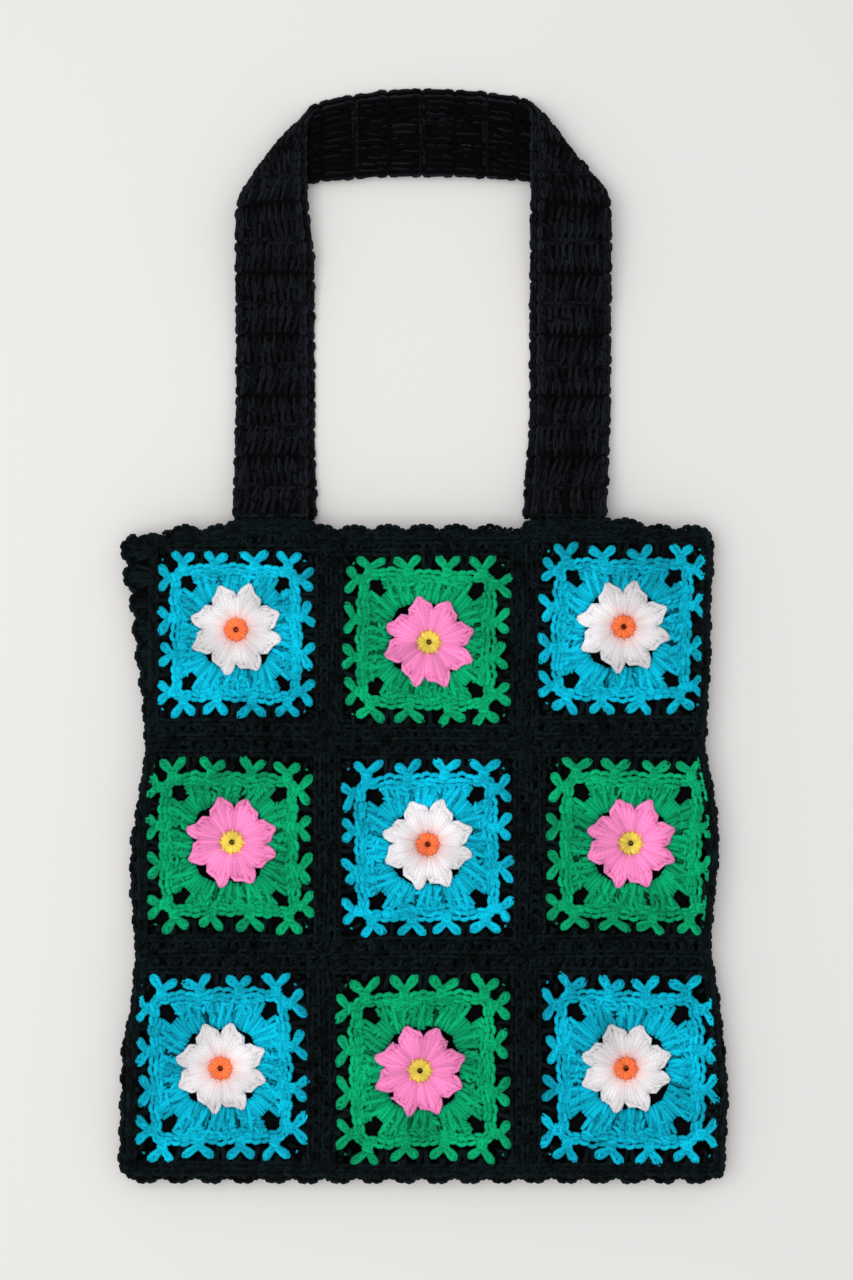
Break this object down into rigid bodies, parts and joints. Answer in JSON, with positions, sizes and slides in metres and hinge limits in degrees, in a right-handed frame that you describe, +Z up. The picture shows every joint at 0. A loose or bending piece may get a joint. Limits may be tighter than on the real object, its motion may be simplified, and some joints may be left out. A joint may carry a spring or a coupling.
{
  "type": "crochet tote bag",
  "caption": "Flat tote bag of crocheted flower squares joined by a dark net, with a cloth lining and crocheted shoulder straps, lying on its back.",
  "frame": {"origin": "on the surface the bag lies on, under the middle of the bag and its straps together", "axes": "+Y from the bag's bottom to the crown of the straps, +Z up off the surface out of the front panel, +X to the right"},
  "size_m": [0.3544, 0.6238, 0.0216],
  "materials": {
    "yarn_turquoise": "soft plied acrylic yarn, crocheted, matt with a slight sheen",
    "yarn_green": "soft plied acrylic yarn, crocheted, matt with a slight sheen",
    "yarn_white": "soft plied acrylic yarn, crocheted, matt with a slight sheen",
    "yarn_pink": "soft plied acrylic yarn, crocheted, matt with a slight sheen",
    "yarn_orange": "soft plied acrylic yarn, crocheted, matt with a slight sheen",
    "yarn_yellow": "soft plied acrylic yarn, crocheted, matt with a slight sheen",
    "yarn_black": "soft plied acrylic yarn, crocheted, matt with a slight sheen",
    "lining_cloth": "plain woven cotton, matt"
  },
  "bodies": {
    "root": {"front_square_r1c1": "yarn_turquoise", "front_flower_r1c1": "yarn_white", "front_eye_r1c1": "yarn_orange", "front_square_r1c2": "yarn_green", "front_flower_r1c2": "yarn_pink", "front_eye_r1c2": "yarn_yellow", "front_square_r1c3": "yarn_turquoise", "front_flower_r1c3": "yarn_white", "front_eye_r1c3": "yarn_orange", "front_square_r2c1": "yarn_green", "front_flower_r2c1": "yarn_pink", "front_eye_r2c1": "yarn_yellow", "front_square_r2c2": "yarn_turquoise", "front_flower_r2c2": "yarn_white", "front_eye_r2c2": "yarn_orange", "front_square_r2c3": "yarn_green", "front_flower_r2c3": "yarn_pink", "front_eye_r2c3": "yarn_yellow", "front_square_r3c1": "yarn_turquoise", "front_flower_r3c1": "yarn_white", "front_eye_r3c1": "yarn_orange", "front_square_r3c2": "yarn_green", "front_flower_r3c2": "yarn_pink", "front_eye_r3c2": "yarn_yellow", "front_square_r3c3": "yarn_turquoise", "front_flower_r3c3": "yarn_white", "front_eye_r3c3": "yarn_orange", "front_net": "yarn_black", "front_strap": "yarn_black", "back_square_r1c1": "yarn_turquoise", "back_flower_r1c1": "yarn_white", "back_eye_r1c1": "yarn_orange", "back_square_r1c2": "yarn_green", "back_flower_r1c2": "yarn_pink", "back_eye_r1c2": "yarn_yellow", "back_square_r1c3": "yarn_turquoise", "back_flower_r1c3": "yarn_white", "back_eye_r1c3": "yarn_orange", "back_square_r2c1": "yarn_green", "back_flower_r2c1": "yarn_pink", "back_eye_r2c1": "yarn_yellow", "back_square_r2c2": "yarn_turquoise", "back_flower_r2c2": "yarn_white", "back_eye_r2c2": "yarn_orange", "back_square_r2c3": "yarn_green", "back_flower_r2c3": "yarn_pink", "back_eye_r2c3": "yarn_yellow", "back_square_r3c1": "yarn_turquoise", "back_flower_r3c1": "yarn_white", "back_eye_r3c1": "yarn_orange", "back_square_r3c2": "yarn_green", "back_flower_r3c2": "yarn_pink", "back_eye_r3c2": "yarn_yellow", "back_square_r3c3": "yarn_turquoise", "back_flower_r3c3": "yarn_white", "back_eye_r3c3": "yarn_orange", "back_net": "yarn_black", "back_strap": "yarn_black", "edging": "yarn_black", "lining": "lining_cloth"}
  },
  "joints": []
}
